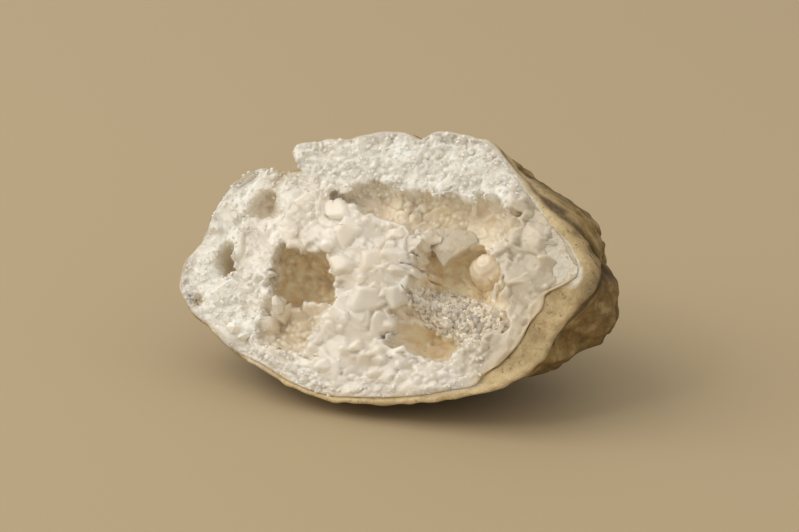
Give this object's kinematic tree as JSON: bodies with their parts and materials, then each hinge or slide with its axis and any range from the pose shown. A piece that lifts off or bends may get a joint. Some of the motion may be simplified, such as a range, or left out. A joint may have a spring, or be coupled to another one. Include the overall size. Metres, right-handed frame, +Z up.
{
  "type": "geode half",
  "caption": "Half of a broken quartz geode: a thin limestone rind round a thick white crystal crust with several hollows, resting on a worn flat.",
  "frame": {"origin": "middle of the object's outline as seen from above, at the level of the worn flat that it rests on", "axes": "+X along the long way of the broken face, to the right as it is looked at, +Y from the broken face to the rounded back, +Z up"},
  "size_m": [0.0654, 0.0418, 0.037],
  "materials": {
    "limestone_rind": "weathered cream to tan limestone and chalcedony, grey brown patina behind, rough and pitted",
    "milky_quartz": "milky white quartz grown in crystals, translucent, glossy on fresh faces, warm brown in the hollows"
  },
  "bodies": {
    "root": {"rind": "limestone_rind", "crystal_crust": "milky_quartz"}
  },
  "joints": []
}
